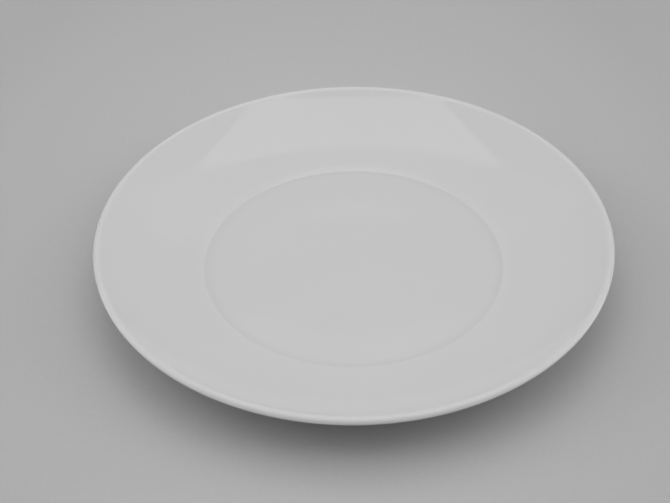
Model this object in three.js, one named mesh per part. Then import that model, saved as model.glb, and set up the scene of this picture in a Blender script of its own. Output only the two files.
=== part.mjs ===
// A soup cup saucer of glazed porcelain, in millimetres, +Z up.
// The origin is on the saucer's axis, in the plane that its foot ring stands on.
// Every solid is turned from a profile, as the clay was turned on the wheel.
import * as THREE from "three";

// Driving dimensions, measured over the glaze
const RIM_DIAMETER = 180;
const RIM_HEIGHT = 20;
const LIP_THICKNESS = 2.6;

const WELL_DIAMETER = 101;
const FLOOR_THICKNESS = 3.9;
const TOE_RADIUS = 22;
const TOE_ANGLE = 5;
const CREASE_RADIUS = 1;
const STEP_ANGLE = 18;
const SHOULDER_RADIUS = 30;

const FLANGE_START_ANGLE = 8;
const UNDERSIDE_START_ANGLE = 12;

const FOOT_DIAMETER = 104;
const FOOT_WIDTH = 4.4;
const FOOT_HEIGHT = 2.4;
const FOOT_FILLET = 1.5;
const FOOT_EDGE_RADIUS = 0.7;

const GLAZE_THICKNESS = 0.25;

// Facets round the axis, and along each round stretch of the profile
const TURN_SEGMENTS = 64;
const TOE_FACETS = 2;
const CREASE_FACETS = 1;
const SHOULDER_FACETS = 3;
const FLANGE_FACETS = 7;
const LIP_FACETS = 6;
const FILLET_FACETS = 2;

// Levels and radii that follow from the driving dimensions
const rimRadius = RIM_DIAMETER / 2;
const lipRadius = LIP_THICKNESS / 2;
const wellRadius = WELL_DIAMETER / 2;
const wellHeight = FOOT_HEIGHT + FLOOR_THICKNESS;
const footRadius = FOOT_DIAMETER / 2;
const recessRadius = footRadius - FOOT_WIDTH;
const glazeLine = FOOT_EDGE_RADIUS;

const toeAngle = THREE.MathUtils.degToRad(TOE_ANGLE);
const stepAngle = THREE.MathUtils.degToRad(STEP_ANGLE);
const flangeStart = THREE.MathUtils.degToRad(FLANGE_START_ANGLE);
const undersideStart = THREE.MathUtils.degToRad(UNDERSIDE_START_ANGLE);

// A unit vector square to a surface that slopes up outwards by an angle, pointing up out of it.
function upward(slope) {
  return new THREE.Vector2(-Math.sin(slope), Math.cos(slope));
}

// The point at a distance from another along a direction.
function along(from, direction, distance) {
  return from.clone().addScaledVector(direction, distance);
}

// Points of a profile's arc, from one angle to another about a centre.
function arc(centre, radius, from, to, facets) {
  const turn = new THREE.EllipseCurve(
    centre.x, centre.y, radius, radius, from, to, to < from,
  );
  return turn.getPoints(facets);
}

// The step round the well: a slow hollow toe off the floor, a tight crease, then a wide round shoulder.
const toeCentre = new THREE.Vector2(wellRadius, wellHeight + TOE_RADIUS);
const creaseCentre = along(toeCentre, upward(toeAngle), CREASE_RADIUS - TOE_RADIUS);
const shoulderCentre = along(creaseCentre, upward(stepAngle), -CREASE_RADIUS - SHOULDER_RADIUS);
const shoulder = along(shoulderCentre, upward(flangeStart), SHOULDER_RADIUS);

// The lip is a full round, and the flange and the underside both run into it.
const lipCentre = new THREE.Vector2(rimRadius - lipRadius, RIM_HEIGHT - lipRadius);

// The radius of an upward-curving arc that leaves a point at a slope and touches the lip's circle.
// The side is 1 for an arc over the lip's circle, and -1 for one under it.
function radiusToLip(point, slope, side) {
  const offset = point.clone().sub(lipCentre);
  const reach = lipRadius ** 2 - offset.lengthSq();
  return reach / (2 * (offset.dot(upward(slope)) - side * lipRadius));
}

// The slope at which an arc about a centre meets the lip.
function slopeAtLip(centre) {
  const toLip = lipCentre.clone().sub(centre);
  return Math.atan2(toLip.x, -toLip.y);
}

const flangeRadius = radiusToLip(shoulder, flangeStart, 1);
const flangeCentre = along(shoulder, upward(flangeStart), flangeRadius);
const flangeEnd = slopeAtLip(flangeCentre);

// A hollow fillet joins the foot ring's outer side to the underside.
const footFillet = Math.min(FOOT_FILLET, FOOT_HEIGHT - glazeLine);
const footFilletCentre = new THREE.Vector2(
  footRadius + footFillet,
  FOOT_HEIGHT - footFillet * Math.cos(undersideStart),
);
const undersideRoot = along(footFilletCentre, upward(undersideStart), footFillet);
const undersideRadius = radiusToLip(undersideRoot, undersideStart, -1);
const undersideCentre = along(undersideRoot, upward(undersideStart), undersideRadius);
const undersideEnd = slopeAtLip(undersideCentre);

// The same fillet joins the foot ring's inner side to the ceiling of its recess.
const recessFilletCentre = new THREE.Vector2(recessRadius - footFillet, FOOT_HEIGHT - footFillet);

const QUARTER = Math.PI / 2;

// The surface at a depth under the glaze's outside, from the axis over the lip to the foot's outer side.
function outerProfile(depth) {
  return [
    new THREE.Vector2(0, wellHeight - depth),
    ...arc(toeCentre, TOE_RADIUS + depth, -QUARTER, toeAngle - QUARTER, TOE_FACETS),
    ...arc(creaseCentre, CREASE_RADIUS + depth, toeAngle - QUARTER, stepAngle - QUARTER, CREASE_FACETS)
      .slice(1),
    ...arc(
      shoulderCentre, SHOULDER_RADIUS - depth,
      stepAngle + QUARTER, flangeStart + QUARTER, SHOULDER_FACETS,
    ).slice(1),
    ...arc(flangeCentre, flangeRadius + depth, flangeStart - QUARTER, flangeEnd - QUARTER, FLANGE_FACETS)
      .slice(1),
    ...arc(lipCentre, lipRadius - depth, flangeEnd + QUARTER, undersideEnd - QUARTER, LIP_FACETS)
      .slice(1),
    ...arc(
      undersideCentre, undersideRadius - depth,
      undersideEnd - QUARTER, undersideStart - QUARTER, FLANGE_FACETS,
    ).slice(1),
    ...arc(
      footFilletCentre, footFillet + depth,
      undersideStart + QUARTER, Math.PI, FILLET_FACETS,
    ).slice(1),
    new THREE.Vector2(footRadius - depth, glazeLine),
  ];
}

// The same inside the foot ring: from the foot's inner side up, and in to the axis.
function recessProfile(depth) {
  return [
    new THREE.Vector2(recessRadius + depth, glazeLine),
    ...arc(recessFilletCentre, footFillet + depth, 0, QUARTER, FILLET_FACETS),
    new THREE.Vector2(0, FOOT_HEIGHT + depth),
  ];
}

// The bare foot: a round edge, the flat land that the saucer stands on, and another round edge.
function footProfile() {
  const outerEdge = new THREE.Vector2(footRadius - GLAZE_THICKNESS - FOOT_EDGE_RADIUS, FOOT_EDGE_RADIUS);
  const innerEdge = new THREE.Vector2(recessRadius + GLAZE_THICKNESS + FOOT_EDGE_RADIUS, FOOT_EDGE_RADIUS);
  return [
    ...arc(outerEdge, FOOT_EDGE_RADIUS, 0, -QUARTER, FILLET_FACETS).slice(1),
    ...arc(innerEdge, FOOT_EDGE_RADIUS, -QUARTER, -Math.PI, FILLET_FACETS).slice(0, -1),
  ];
}

// A profile of radius and height turned round the saucer's axis.
function turned(name, profile, material) {
  const geometry = new THREE.LatheGeometry(profile.reverse(), TURN_SEGMENTS);
  geometry.rotateX(QUARTER);
  const mesh = new THREE.Mesh(geometry, material);
  mesh.name = name;
  return mesh;
}

const saucer = new THREE.Group();
saucer.name = "saucer";

// The fired clay body, bare only on its foot.
saucer.add(
  turned(
    "porcelain_body",
    [...outerProfile(GLAZE_THICKNESS), ...footProfile(), ...recessProfile(GLAZE_THICKNESS)],
    new THREE.MeshStandardMaterial({ color: 0xdedbd2, roughness: 0.75, metalness: 0 }),
  ),
);

// The glaze over the well, the flange, the lip and the underside.
saucer.add(
  turned(
    "outer_glaze",
    [...outerProfile(0), ...outerProfile(GLAZE_THICKNESS).reverse()],
    new THREE.MeshStandardMaterial({ color: 0xe0e0df, roughness: 0.08, metalness: 0 }),
  ),
);

// The glaze inside the foot ring.
saucer.add(
  turned(
    "foot_recess_glaze",
    [...recessProfile(GLAZE_THICKNESS).reverse(), ...recessProfile(0)],
    new THREE.MeshStandardMaterial({ color: 0xe0e0df, roughness: 0.08, metalness: 0 }),
  ),
);

export default saucer;
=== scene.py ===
# %% [markdown]
# # A porcelain saucer for a soup cup
# The real saucer is one piece of fired clay in a coat of clear glass. Its CAD model is loaded first
# and stays as it is: it says where everything goes, in metres, with +Z up and the foot ring on Z = 0.
# The pieces made below stand for its faceted solids, with the same sizes and a finer surface.

# %% Load the frame
import math

import bpy
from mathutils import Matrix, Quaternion, Vector


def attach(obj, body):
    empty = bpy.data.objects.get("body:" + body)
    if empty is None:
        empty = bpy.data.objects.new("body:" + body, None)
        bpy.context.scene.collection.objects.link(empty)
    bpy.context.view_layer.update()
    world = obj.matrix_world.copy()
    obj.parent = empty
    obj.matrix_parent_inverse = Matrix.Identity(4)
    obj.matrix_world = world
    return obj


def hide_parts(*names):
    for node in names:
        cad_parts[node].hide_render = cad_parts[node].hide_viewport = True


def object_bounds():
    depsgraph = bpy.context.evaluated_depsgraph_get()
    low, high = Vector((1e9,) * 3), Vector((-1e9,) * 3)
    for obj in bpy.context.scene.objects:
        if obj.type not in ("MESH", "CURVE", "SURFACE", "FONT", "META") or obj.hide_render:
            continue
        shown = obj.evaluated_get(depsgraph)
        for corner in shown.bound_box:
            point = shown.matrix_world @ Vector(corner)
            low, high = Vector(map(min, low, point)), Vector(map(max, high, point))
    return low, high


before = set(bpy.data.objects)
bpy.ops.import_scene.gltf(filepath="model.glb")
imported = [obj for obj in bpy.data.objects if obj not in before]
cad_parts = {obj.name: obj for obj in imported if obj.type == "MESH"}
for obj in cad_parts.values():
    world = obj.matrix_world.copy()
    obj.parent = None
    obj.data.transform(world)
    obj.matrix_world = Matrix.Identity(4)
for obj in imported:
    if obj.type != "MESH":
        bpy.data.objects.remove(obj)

MM = 0.001
cad_low, cad_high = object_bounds()
print("CAD box in mm:", [round(side / MM, 2) for side in cad_high - cad_low])

# %% [markdown]
# ## The camera
# The picture was taken from about 40 degrees above the table, with a long lens from half a metre away,
# so the far side of the rim is hardly smaller than the near side. The camera is placed from the middle
# of the rim, back along the line of sight, and it aims a little to the left of that point and below it,
# because the saucer sits off the middle of the picture. Moving it by hand until the outlines match would
# work too, but numbers can be corrected one at a time.

# %% Place the camera
RIM_LEVEL = 18.7 * MM
LENS = 85
SENSOR_WIDTH = 36
CAMERA_DISTANCE = 550 * MM
CAMERA_ELEVATION = math.radians(39.78)
CAMERA_ROLL = math.radians(-0.99)
AIM_LEFT = 6.4 * MM
AIM_DOWN = 5.6 * MM

rim_centre = Vector((0, 0, RIM_LEVEL))
towards_camera = Vector((0, -math.cos(CAMERA_ELEVATION), math.sin(CAMERA_ELEVATION)))
camera_up = Vector((0, math.sin(CAMERA_ELEVATION), math.cos(CAMERA_ELEVATION)))
camera_place = rim_centre + towards_camera * CAMERA_DISTANCE
aim = rim_centre - Vector((1, 0, 0)) * AIM_LEFT - camera_up * AIM_DOWN
level_turn = (aim - camera_place).to_track_quat("-Z", "Y")
camera_turn = level_turn @ Quaternion((0, 0, 1), CAMERA_ROLL)

bpy.ops.object.camera_add(location=camera_place, rotation=camera_turn.to_euler())
camera = bpy.context.object
camera.name = "photo_camera"
camera.data.lens = LENS
camera.data.sensor_width = SENSOR_WIDTH
bpy.context.scene.camera = camera
print("camera at mm:", [round(value / MM) for value in camera_place])

# %% [markdown]
# ## Drawing a profile and turning it
# A saucer is shaped on a wheel: a profile tool presses the clay while it turns. The same can be done
# here. A profile is drawn in edit mode from one vertex: extrude makes its straight stretches, and Spin
# about an arc's centre makes its round ones. Spin about the upright axis then turns it into a dish.
# Adding a cylinder and scaling its loops would work too, but the arcs would be harder to get right.

# %% Tools for a turned piece
WELD_DISTANCE = 0.01 * MM


def start_profile(name, radius, height):
    """A new mesh of one selected vertex, in edit mode."""
    bpy.ops.object.select_all(action="DESELECT")
    bpy.ops.mesh.primitive_plane_add(size=MM)
    piece = bpy.context.object
    piece.name = name
    piece.data.name = name
    bpy.ops.object.mode_set(mode="EDIT")
    bpy.ops.mesh.merge(type="CENTER")
    bpy.ops.transform.translate(value=(radius, 0, height))
    return piece


def draw_line(across, up):
    """Extends the profile straight on by a distance outwards and a distance up."""
    bpy.ops.mesh.extrude_region_move(TRANSFORM_OT_translate={"value": (across, 0, up)})


def draw_arc(radius, height, angle, steps):
    """Extends the profile round a centre. A positive angle bends a line that runs outwards upwards."""
    bpy.ops.mesh.spin(steps=steps, angle=angle, center=(radius, 0, height), axis=(0, 1, 0))


def turn_profile(piece, steps):
    """Spins the profile once round the upright axis and closes its seam and its poles."""
    bpy.ops.mesh.select_all(action="SELECT")
    bpy.ops.mesh.spin(steps=steps, angle=math.tau, center=(0, 0, 0), axis=(0, 0, 1))
    bpy.ops.mesh.select_all(action="SELECT")
    bpy.ops.mesh.remove_doubles(threshold=WELD_DISTANCE)
    bpy.ops.mesh.normals_make_consistent(inside=False)
    bpy.ops.object.mode_set(mode="OBJECT")
    print(piece.name, "has", len(piece.data.polygons), "faces")


# %% [markdown]
# ## The shape of the saucer
# These are the saucer's own sizes, as in the CAD model, and the arcs that follow from them. The floor
# of the well rises in a slow hollow toe, turns up in a tight crease and goes over a round shoulder to
# the flange. The flange is one long arc that runs into the lip, and the underside is another. The lip
# is round, wider on its inside than on its edge. The arcs touch, so the light runs over the glaze
# without a break. The floor also sags a little between its supports in the kiln, and the sag bends what
# is mirrored in it.

# %% Sizes over the glaze
WELL_RADIUS = 50.5 * MM
WELL_HEIGHT = 6.3 * MM
WELL_SAG = 0.5 * MM
SAG_START = 39 * MM
SAG_END = 24 * MM
TOE_RADIUS = 22 * MM
TOE_SLOPE = math.radians(5)
CREASE_RADIUS = 1 * MM
STEP_SLOPE = math.radians(18)
SHOULDER_RADIUS = 30 * MM
FLANGE_SLOPE = math.radians(8)
LIP_INSIDE = 2.2 * MM
LIP_OUTSIDE = 1.2 * MM
UNDERSIDE_SLOPE = math.radians(12)
FOOT_RADIUS = 52 * MM
FOOT_WIDTH = 4.4 * MM
FOOT_HEIGHT = 2.4 * MM
FOOT_FILLET = 1.5 * MM
FOOT_EDGE = 0.7 * MM
GLAZE = 0.25 * MM

rim_radius = cad_high.x
rim_height = cad_high.z
print("rim is", round(rim_radius / MM, 1), "mm out and", round(rim_height / MM, 1), "mm up")


# %% Arcs of the step and the lip
def upward(slope):
    """The direction square to a surface that climbs outwards at a slope, as (outwards, up)."""
    return Vector((-math.sin(slope), math.cos(slope)))


toe_centre = Vector((WELL_RADIUS, WELL_HEIGHT + TOE_RADIUS))
crease_centre = toe_centre - (TOE_RADIUS - CREASE_RADIUS) * upward(TOE_SLOPE)
shoulder_centre = crease_centre - (CREASE_RADIUS + SHOULDER_RADIUS) * upward(STEP_SLOPE)
shoulder = shoulder_centre + SHOULDER_RADIUS * upward(FLANGE_SLOPE)
lip_crest = rim_radius - LIP_OUTSIDE
inside_centre = Vector((lip_crest, rim_height - LIP_INSIDE))
outside_centre = Vector((lip_crest, rim_height - LIP_OUTSIDE))
print("flange starts", round(shoulder.x / MM, 1), "mm out and", round(shoulder.y / MM, 1), "mm up")


# %% Arcs of the flange and the underside
def arc_to_lip(start, slope, centre, lip_radius, side):
    """Centre of the arc that leaves a point at a slope and runs into a round of the lip.

    The side is 1 for an arc over that round and -1 for one under it.
    """
    reach = start - centre
    gap = reach.dot(upward(slope)) - side * lip_radius
    radius = (lip_radius**2 - reach.length_squared) / (2 * gap)
    return start + radius * upward(slope)


def slope_at_lip(arc_centre, centre):
    """The slope at which an arc runs into a round of the lip."""
    to_lip = centre - arc_centre
    return math.atan2(to_lip.x, -to_lip.y)


flange_centre = arc_to_lip(shoulder, FLANGE_SLOPE, inside_centre, LIP_INSIDE, 1)
flange_end = slope_at_lip(flange_centre, inside_centre)
fillet_level = FOOT_HEIGHT - FOOT_FILLET * math.cos(UNDERSIDE_SLOPE)
fillet_centre = Vector((FOOT_RADIUS + FOOT_FILLET, fillet_level))
underside_root = fillet_centre + FOOT_FILLET * upward(UNDERSIDE_SLOPE)
underside_centre = arc_to_lip(underside_root, UNDERSIDE_SLOPE, outside_centre, LIP_OUTSIDE, -1)
underside_end = slope_at_lip(underside_centre, outside_centre)
climb = [round(math.degrees(slope)) for slope in (FLANGE_SLOPE, flange_end)]
print("flange climbs from", climb[0], "to", climb[1], "degrees")

# %% [markdown]
# ## The outer coat of glaze
# Everything that shows from above is glaze: a skin of clear glass a quarter of a millimetre thick, over
# the well, the step, the flange, the lip and the underside, down to the outer side of the foot ring.
# The profile is drawn once along its outside. Solidify then gives it its thickness inwards, which is
# quicker and more even than drawing the inside by hand.

# %% Draw the coat's profile
WELL_RINGS = 34
TOE_STEPS = 5
CREASE_STEPS = 4
SHOULDER_STEPS = 14
FLANGE_STEPS = 36
INSIDE_STEPS = 8
OUTSIDE_STEPS = 14
UNDERSIDE_STEPS = 26
FILLET_STEPS = 6
TURNS = 256
QUARTER = math.pi / 2


def sag_at(radius):
    """How far the floor of the well has sunk at a radius: not at all outside, fully in the middle."""
    part = (SAG_START - radius) / (SAG_START - SAG_END)
    part = min(max(part, 0), 1)
    return WELL_SAG * (3 - 2 * part) * part**2


def draw_outside():
    """The profile from the axis over the lip to the foot's outer side."""
    ring = WELL_RADIUS / WELL_RINGS
    for index in range(WELL_RINGS):
        draw_line(ring, sag_at(index * ring) - sag_at((index + 1) * ring))
    draw_arc(*toe_centre, TOE_SLOPE, TOE_STEPS)
    draw_arc(*crease_centre, STEP_SLOPE - TOE_SLOPE, CREASE_STEPS)
    draw_arc(*shoulder_centre, FLANGE_SLOPE - STEP_SLOPE, SHOULDER_STEPS)
    draw_arc(*flange_centre, flange_end - FLANGE_SLOPE, FLANGE_STEPS)
    draw_arc(*inside_centre, -flange_end, INSIDE_STEPS)
    draw_arc(*outside_centre, underside_end - math.pi, OUTSIDE_STEPS)
    draw_arc(*underside_centre, UNDERSIDE_SLOPE - underside_end, UNDERSIDE_STEPS)
    draw_arc(*fillet_centre, QUARTER - UNDERSIDE_SLOPE, FILLET_STEPS)
    draw_line(0, FOOT_EDGE - fillet_centre.y)


outer_coat = start_profile("outer_glaze_coat", 0, WELL_HEIGHT - WELL_SAG)
draw_outside()
turn_profile(outer_coat, TURNS)

# %% Give the coat its thickness
SMOOTH_ANGLE = math.radians(35)


def thicken(piece):
    """Turns a skin into a closed shell as thick as the glaze, inwards."""
    bpy.ops.object.modifier_add(type="SOLIDIFY")
    solidify = piece.modifiers[-1]
    solidify.thickness = GLAZE
    solidify.offset = -1
    solidify.use_even_offset = True
    bpy.ops.object.modifier_apply(modifier=solidify.name)
    bpy.ops.object.shade_smooth_by_angle(angle=SMOOTH_ANGLE)


thicken(outer_coat)
print("outer coat reaches", [round(side / MM, 2) for side in outer_coat.dimensions], "mm")

# %% [markdown]
# ## The clay body
# Under the glaze is the fired clay. It only shows on the foot ring, where the glaze is wiped off so that
# the saucer doesn't fuse to the kiln's shelf. Its profile starts a glaze's thickness lower than the
# coat's. Spin keeps each arc's centre, so the same drawing then gives a surface that runs parallel to
# the coat all the way. The foot ring follows: a round edge, the flat land that the saucer stands on,
# and another round edge.

# %% Draw the body
EDGE_STEPS = 6

recess_radius = FOOT_RADIUS - FOOT_WIDTH
recess_fillet_centre = Vector((recess_radius - FOOT_FILLET, FOOT_HEIGHT - FOOT_FILLET))
outer_edge = FOOT_RADIUS - GLAZE - FOOT_EDGE
inner_edge = recess_radius + GLAZE + FOOT_EDGE


def draw_recess():
    """The profile from the foot's inner side up to the recess and in to the axis."""
    draw_line(0, recess_fillet_centre.y - FOOT_EDGE)
    draw_arc(*recess_fillet_centre, QUARTER, FILLET_STEPS)
    draw_line(-recess_fillet_centre.x, 0)


clay_body = start_profile("clay_body", 0, WELL_HEIGHT - WELL_SAG - GLAZE)
draw_outside()
draw_arc(outer_edge, FOOT_EDGE, -QUARTER, EDGE_STEPS)
draw_line(inner_edge - outer_edge, 0)
draw_arc(inner_edge, FOOT_EDGE, -QUARTER, EDGE_STEPS)
draw_recess()
turn_profile(clay_body, TURNS)
bpy.ops.object.shade_smooth_by_angle(angle=SMOOTH_ANGLE)

# %% [markdown]
# ## The glaze inside the foot ring
# A second coat lines the recess on the underside. It is drawn where it lies on the clay, and Solidify
# gives it its thickness towards the open side, because an open cup's faces are turned to its outside.

# %% Draw the recess coat
recess_coat = start_profile("recess_glaze_coat", recess_radius + GLAZE, FOOT_EDGE)
draw_recess()
turn_profile(recess_coat, TURNS)
thicken(recess_coat)
recess_low = min(vertex.co.z for vertex in recess_coat.data.vertices)
recess_top = max(vertex.co.z for vertex in recess_coat.data.vertices)
print("recess coat from", round(recess_low / MM, 2), "to", round(recess_top / MM, 2), "mm")

# %% [markdown]
# ## Into the frame
# Each piece now says which solid of the CAD model it stands for. The solid is hidden and its piece takes
# its place, on the same body.

# %% Put the pieces in the frame
for piece, node, slot in (
    (outer_coat, "outer_glaze", "glaze"),
    (clay_body, "porcelain_body", "bare_porcelain"),
    (recess_coat, "foot_recess_glaze", "glaze"),
):
    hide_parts(node)
    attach(piece, "root")
    print(piece.name, "stands for", node)

# %% [markdown]
# ## The glaze
# White porcelain glaze is clear glass over white clay, so a glossy Principled shader with a pale colour
# is close to it. What tells it from plastic is small: faint clouds where the glass is thicker, a grey
# line in the step that is also painted shade, a paler lip that is also a painted highlight, a few
# specks, and a skin that is not quite flat.

# %% Tools for nodes
def start_material(name):
    """A new material, its nodes and its Principled shader."""
    material = bpy.data.materials.new(name)
    material.use_nodes = True
    return material, material.node_tree, material.node_tree.nodes["Principled BSDF"]


def add_node(tree, kind, inputs, **settings):
    """A node with its settings and its inputs, each a plain value or another node's output."""
    node = tree.nodes.new(kind)
    for name, value in settings.items():
        setattr(node, name, value)
    for name, value in inputs.items():
        if isinstance(value, bpy.types.NodeSocket):
            tree.links.new(value, node.inputs[name])
        else:
            node.inputs[name].default_value = value
    return node


def calculate(tree, operation, first, second):
    """A Math node's result for two inputs."""
    node = add_node(tree, "ShaderNodeMath", {0: first, 1: second}, operation=operation)
    return node.outputs["Value"]


def calculate_vector(tree, operation, first, second, output="Vector"):
    """A Vector Math node's result for two inputs."""
    node = add_node(tree, "ShaderNodeVectorMath", {0: first, 1: second}, operation=operation)
    return node.outputs[output]


def in_range(tree, value, source, target, curve="LINEAR"):
    """A value carried from one range to another, and held at the ends."""
    inputs = {
        "Value": value,
        "From Min": source[0], "From Max": source[1],
        "To Min": target[0], "To Max": target[1],
    }
    return add_node(tree, "ShaderNodeMapRange", inputs, interpolation_type=curve).outputs["Result"]


# %% Tools for textures
NOISE_SPREAD = (0.3, 0.7)


def noise(tree, place, scale, detail):
    """A noise texture's value. Most of it lies within the noise spread."""
    inputs = {"Vector": place, "Scale": scale, "Detail": detail}
    return add_node(tree, "ShaderNodeTexNoise", inputs).outputs["Fac"]


def tone_about_one(tree, value, share):
    """A noise as a factor that lightens and darkens by up to a share."""
    return in_range(tree, value, NOISE_SPREAD, (1 - share, 1 + share))


def grey(tree, value):
    """A grey of one value."""
    inputs = {"Red": value, "Green": value, "Blue": value}
    return add_node(tree, "ShaderNodeCombineColor", inputs).outputs["Color"]


def bumped(tree, distance, height):
    """A surface's direction where a texture raises it by up to a distance."""
    inputs = {"Strength": 1, "Distance": distance, "Height": height}
    return add_node(tree, "ShaderNodeBump", inputs).outputs["Normal"]


# %% Mix the glaze's white
GLAZE_WHITE = 0.64
CLOUD_SCALE = 28
CLOUD_TONE = 0.007

glaze, glaze_tree, glaze_shader = start_material("white_glaze")
glaze_place = add_node(glaze_tree, "ShaderNodeTexCoord", {}).outputs["Object"]
clouds = noise(glaze_tree, glaze_place, CLOUD_SCALE, 3)
cloud_tone = tone_about_one(glaze_tree, clouds, CLOUD_TONE)
cloudy_white = calculate(glaze_tree, "MULTIPLY", GLAZE_WHITE, cloud_tone)
print("glaze is", GLAZE_WHITE, "white, give or take", CLOUD_TONE)

# %% [markdown]
# The step is where a glaze shows most. It runs down into the toe and lies thick there, so the white is
# greyer, up to a crisp edge at the crease; the grey there is also painted shade in the crease. From the
# shoulder above and from the round of the lip it drains, and the clay behind it looks paler; these paler
# bands are also painted highlights. Painting these rings would be slow: here the distance from the axis
# says where they are.

# %% Let the glaze run, with painted shade and highlights
POOL_AND_SHADE_START = 48.6 * MM
POOL_AND_SHADE_EDGE = 52.3 * MM
POOL_AND_SHADE_END = 52.8 * MM
POOL_AND_SHADE_CURVE = 1.7
POOL_AND_SHADE_TONE = 0.047
THIN_AND_HIGHLIGHT_END = 57 * MM
THIN_AND_HIGHLIGHT_TONE = 0.025
LIP_START = 87 * MM
LIP_PALE_AND_HIGHLIGHT_TONE = 0.025

across = calculate_vector(glaze_tree, "MULTIPLY", glaze_place, (1, 1, 0))
radius = add_node(glaze_tree, "ShaderNodeVectorMath", {0: across}, operation="LENGTH").outputs["Value"]
# Painted shade: the band up to the crease is made greyer, for glaze pooled there and as shade in the
# crease.
pool_and_shade_rise = in_range(glaze_tree, radius, (POOL_AND_SHADE_START, POOL_AND_SHADE_EDGE), (0, 1))
pool_and_shade_depth = calculate(glaze_tree, "POWER", pool_and_shade_rise, POOL_AND_SHADE_CURVE)
pooled_and_shaded = in_range(glaze_tree, pool_and_shade_depth, (0, 1), (1, 1 - POOL_AND_SHADE_TONE))
# Painted highlight: past the crease the shoulder is made paler, for drained glaze and as a highlight on
# its round.
thinned_and_highlighted = in_range(glaze_tree, radius, (POOL_AND_SHADE_END, THIN_AND_HIGHLIGHT_END), (1 + THIN_AND_HIGHLIGHT_TONE, 1))
past_edge = in_range(glaze_tree, radius, (POOL_AND_SHADE_EDGE, POOL_AND_SHADE_END), (0, 1), "SMOOTHSTEP")
ring_tone = add_node(glaze_tree, "ShaderNodeMix", {"Factor": past_edge, "A": pooled_and_shaded, "B": thinned_and_highlighted})
# Painted highlight: the lip is made paler towards its edge, for thinner glaze and as a highlight on its
# round.
lip_pale_and_highlight = in_range(glaze_tree, radius, (LIP_START, rim_radius), (1, 1 + LIP_PALE_AND_HIGHLIGHT_TONE))
run_and_painted_light_tone = calculate(glaze_tree, "MULTIPLY", ring_tone.outputs["Result"], lip_pale_and_highlight)
ring_white = calculate(glaze_tree, "MULTIPLY", cloudy_white, run_and_painted_light_tone)
# The band measured here is greyer for pooled glaze and as painted shade in the crease.
print("glaze pools", round((POOL_AND_SHADE_EDGE - POOL_AND_SHADE_START) / MM, 1), "mm wide")

# %% [markdown]
# Specks of iron in the clay show as a few faint dots. Voronoi cells give each dot its place, and the
# cell's random colour says whether it has one: only one cell in fifty does. Two-dimensional cells are
# used, because points spread through space would hardly ever lie on the skin.

# %% Add specks
SPECK_CELLS = 120
SPECK_SHARE = 0.02
SPECK_TONE = 0.05
SPECK_CORE = 0.02
SPECK_EDGE = 0.06

cell_inputs = {"Vector": glaze_place, "Scale": SPECK_CELLS}
cells = add_node(glaze_tree, "ShaderNodeTexVoronoi", cell_inputs, voronoi_dimensions="2D")
cell_colour = add_node(glaze_tree, "ShaderNodeSeparateColor", {"Color": cells.outputs["Color"]})
chosen = calculate(glaze_tree, "LESS_THAN", cell_colour.outputs["Red"], SPECK_SHARE)
from_core = cells.outputs["Distance"]
dot = in_range(glaze_tree, from_core, (SPECK_CORE, SPECK_EDGE), (SPECK_TONE, 0), "SMOOTHSTEP")
speck = calculate(glaze_tree, "MULTIPLY", chosen, dot)
unspecked = calculate(glaze_tree, "SUBTRACT", 1, speck)
glaze_white = calculate(glaze_tree, "MULTIPLY", ring_white, unspecked)
glaze_tree.links.new(grey(glaze_tree, glaze_white), glaze_shader.inputs["Base Color"])
print("specks are up to", round(2 * SPECK_EDGE / SPECK_CELLS / MM, 1), "mm wide")

# %% [markdown]
# The skin of a glaze is never quite flat. Slow ripples, about a hundredth of a millimetre high, make the
# edges of what it mirrors waver. Finer noise varies the roughness, so the gloss isn't the same all over.

# %% Ripple the skin
RIPPLE_SCALE = 90
RIPPLE_HEIGHT = 0.012 * MM
GLOSS_SCALE = 240
GLOSS_ROUGHNESS = (0.008, 0.02)

ripples = noise(glaze_tree, glaze_place, RIPPLE_SCALE, 1)
glaze_tree.links.new(bumped(glaze_tree, RIPPLE_HEIGHT, ripples), glaze_shader.inputs["Normal"])
gloss = noise(glaze_tree, glaze_place, GLOSS_SCALE, 2)
glaze_roughness = in_range(glaze_tree, gloss, NOISE_SPREAD, GLOSS_ROUGHNESS)
glaze_tree.links.new(glaze_roughness, glaze_shader.inputs["Roughness"])
for piece in (outer_coat, recess_coat):
    piece.data.materials.append(glaze)
print("glaze has", len(glaze_tree.nodes), "nodes")

# %% [markdown]
# ## The bare foot
# Where the glaze was wiped off, the clay is cream and matte, with a grain as fine as flour. The land it
# stands on is ground smooth and has picked up grey from tables and other saucers. The height above the
# table says where the land is, and a fine noise breaks the grey up into scuffs.

# %% Scuff the land
LAND_HEIGHT = 0.12 * MM
SCUFF_SCALE = 420
SCUFF_SPREAD = (0.36, 0.68)
SCUFF_WEAR = (0.15, 0.9)

bare_porcelain, bare_tree, bare_shader = start_material("bare_porcelain")
bare_place = add_node(bare_tree, "ShaderNodeTexCoord", {}).outputs["Object"]
height = add_node(bare_tree, "ShaderNodeSeparateXYZ", {"Vector": bare_place}).outputs["Z"]
on_land = in_range(bare_tree, height, (0, LAND_HEIGHT), (1, 0), "SMOOTHSTEP")
scuffs = noise(bare_tree, bare_place, SCUFF_SCALE, 5)
scuffed = in_range(bare_tree, scuffs, SCUFF_SPREAD, SCUFF_WEAR, "SMOOTHSTEP")
wear = calculate(bare_tree, "MULTIPLY", on_land, scuffed)
print("land is worn by", SCUFF_WEAR[0], "to", SCUFF_WEAR[1])

# %% Colour the clay
CLEAN_CLAY = (0.66, 0.63, 0.56)
WORN_CLAY = (0.51, 0.49, 0.455)
CLEAN_TO_WORN_ROUGHNESS = (0.78, 0.55)
GRAIN_SCALE = 2600
GRAIN_TONE = 0.05
GRAIN_HEIGHT = 0.015 * MM

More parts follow.
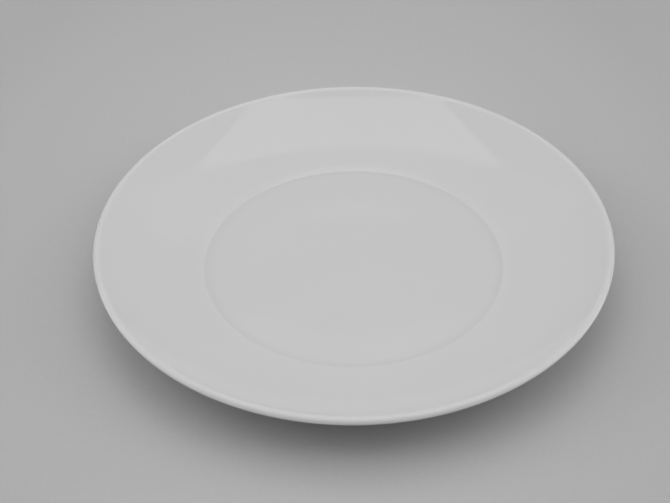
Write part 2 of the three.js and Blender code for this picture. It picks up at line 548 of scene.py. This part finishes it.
grain = noise(bare_tree, bare_place, GRAIN_SCALE, 2)
grain_tone = tone_about_one(bare_tree, grain, GRAIN_TONE)
bare_colour = add_node(bare_tree, "ShaderNodeCombineColor", {})
for channel, clean, worn in zip(("Red", "Green", "Blue"), CLEAN_CLAY, WORN_CLAY):
    clay_tone = in_range(bare_tree, wear, (0, 1), (clean, worn))
    grainy_tone = calculate(bare_tree, "MULTIPLY", clay_tone, grain_tone)
    bare_tree.links.new(grainy_tone, bare_colour.inputs[channel])
bare_tree.links.new(bare_colour.outputs["Color"], bare_shader.inputs["Base Color"])
bare_roughness = in_range(bare_tree, wear, (0, 1), CLEAN_TO_WORN_ROUGHNESS)
bare_tree.links.new(bare_roughness, bare_shader.inputs["Roughness"])
bare_tree.links.new(bumped(bare_tree, GRAIN_HEIGHT, grain), bare_shader.inputs["Normal"])
clay_body.data.materials.append(bare_porcelain)
print("bare porcelain has", len(bare_tree.nodes), "nodes")

# %% [markdown]
# ## The floor
# The saucer stands on a sheet of matte grey paper. Its grey is painted darker towards the corners, as
# painted shade for the falloff that pictures taken with a real lens show. A round falloff in the paper's
# colour gives this without touching the light on the saucer.

# %% Lay the floor
FLOOR_SIZE = 40

bpy.ops.object.select_all(action="DESELECT")
bpy.ops.mesh.primitive_plane_add(size=FLOOR_SIZE)
floor = bpy.context.object
floor.name = "paper_floor"
print("floor is", FLOOR_SIZE, "m wide")

# %% Colour the paper, with painted shade towards the corners
PAPER_GREY = 0.516
PAPER_PAINTED_SHADE_EDGE = 0.455
PAINTED_SHADE_CENTRE = (-0.012, 0.05, 0)
PAINTED_SHADE_REACH = (0.144, 0.225, 1)
FIBRE_SCALE = 600
FIBRE_TONE = 0.015
PAPER_ROUGHNESS = 0.9
PAPER_SHEEN = 0.2

paper, paper_tree, paper_shader = start_material("grey_paper")
floor_place = add_node(paper_tree, "ShaderNodeTexCoord", {}).outputs["Object"]
from_centre = calculate_vector(paper_tree, "SUBTRACT", floor_place, PAINTED_SHADE_CENTRE)
spread = calculate_vector(paper_tree, "DIVIDE", from_centre, PAINTED_SHADE_REACH)
falloff = calculate_vector(paper_tree, "DOT_PRODUCT", spread, spread, "Value")
# Painted shade: the paper's grey darkens away from the middle, standing in for a lens's falloff of
# light.
shaded_paper_tone = in_range(paper_tree, falloff, (0, 1), (PAPER_GREY, PAPER_PAINTED_SHADE_EDGE))
fibres = noise(paper_tree, floor_place, FIBRE_SCALE, 6)
fibre_tone = tone_about_one(paper_tree, fibres, FIBRE_TONE)
shaded_fibred_paper = calculate(paper_tree, "MULTIPLY", shaded_paper_tone, fibre_tone)
paper_tree.links.new(grey(paper_tree, shaded_fibred_paper), paper_shader.inputs["Base Color"])
paper_shader.inputs["Roughness"].default_value = PAPER_ROUGHNESS
paper_shader.inputs["Specular IOR Level"].default_value = PAPER_SHEEN
floor.data.materials.append(paper)
print("paper goes from", PAPER_GREY, "to", PAPER_PAINTED_SHADE_EDGE)

# %% [markdown]
# ## The light
# The saucer was lit in a pale room by wide, soft panels, so its shadow is soft too. The room is a dim,
# even sky that is paler low down behind the saucer, where the paper goes up the wall. Without that, the
# front of the flange would mirror a dark band along its lip.

# %% Light the room
ROOM_GLOW = 0.04
WALL_GLOW = 0.3
WALL_SPREAD = 6
WALL_RISE = 0.15

world = bpy.data.worlds.new("studio")
bpy.context.scene.world = world
world.use_nodes = True
world_tree = world.node_tree
wall_direction = Vector((0, 1, WALL_RISE)).normalized()
looking = add_node(world_tree, "ShaderNodeTexCoord", {}).outputs["Generated"]
to_wall = calculate_vector(world_tree, "DOT_PRODUCT", looking, wall_direction, "Value")
near_wall = calculate(world_tree, "MAXIMUM", to_wall, 0)
wall_share = calculate(world_tree, "POWER", near_wall, WALL_SPREAD)
room_light = in_range(world_tree, wall_share, (0, 1), (ROOM_GLOW, ROOM_GLOW + WALL_GLOW))
background = world_tree.nodes["Background"]
background.inputs["Color"].default_value = (1, 1, 1, 1)
world_tree.links.new(room_light, background.inputs["Strength"])
print("room glows from", ROOM_GLOW, "to", round(ROOM_GLOW + WALL_GLOW, 2))

# %% [markdown]
# Two of the panels can be seen in the glaze: the softbox overhead makes the bright patch on the rear of
# the flange, and a panel far behind makes the paler wings beside it. White cards stand low at both sides
# and in front: they light the round of the lip and thin the shadow under it. Four fills overhead give
# most of the light. They hang lower than the softbox and would hide it in the glaze, so their own mirror
# images are left out. Each line gives a panel's place, where it faces, its width, its height and its
# brightness, in metres and in shares of white.

# %% Make a panel
DOWN = (0, 0, -1)
FORWARD = (0, -1, 0)
BACKWARD = (0, 1, 0)
LEFT = (-1, 0, 0)
RIGHT = (1, 0, 0)


def hang_panel(name, place, facing, width, height, brightness):
    """A flat lamp that looks as bright as this, as a share of white."""
    bpy.ops.object.light_add(type="AREA", location=place)
    panel = bpy.context.object
    panel.name = name
    panel.data.shape = "RECTANGLE"
    panel.data.size = width
    panel.data.size_y = height
    panel.data.energy = brightness * math.pi * width * height
    panel.rotation_euler = Vector(facing).to_track_quat("-Z", "Y").to_euler()
    print(name, "gives", round(panel.data.energy, 2), "W")
    return panel


# %% Hang the panels
hang_panel("softbox", (0.0185, 0.183, 0.8), DOWN, 0.587, 0.514, 0.75)
hang_panel("rear_panel", (0.1, 1.5, 2.155), FORWARD, 3.0, 1.49, 0.22)
hang_panel("left_card", (-2.1, 0, 0.45), RIGHT, 2.4, 0.9, 1.55)
hang_panel("right_card", (2.1, 0, 0.45), LEFT, 2.4, 0.9, 1.9)
hang_panel("front_card", (0, -3.6, 0.36), BACKWARD, 4.8, 0.72, 1.97)
fills = (
    hang_panel("rear_fill", (-0.03, 0.1, 0.6), DOWN, 1.2, 0.9, 0.705),
    hang_panel("front_fill", (0, -0.35, 0.62), DOWN, 1.2, 0.5, 0.77),
    hang_panel("left_fill", (-0.9, 0.1, 0.6), DOWN, 0.5, 1.0, 2.1),
    hang_panel("right_fill", (0.9, 0.1, 0.6), DOWN, 0.5, 1.0, 1.93),
)
for fill in fills:
    fill.visible_glossy = False

bpy.context.scene.view_settings.view_transform = "Standard"
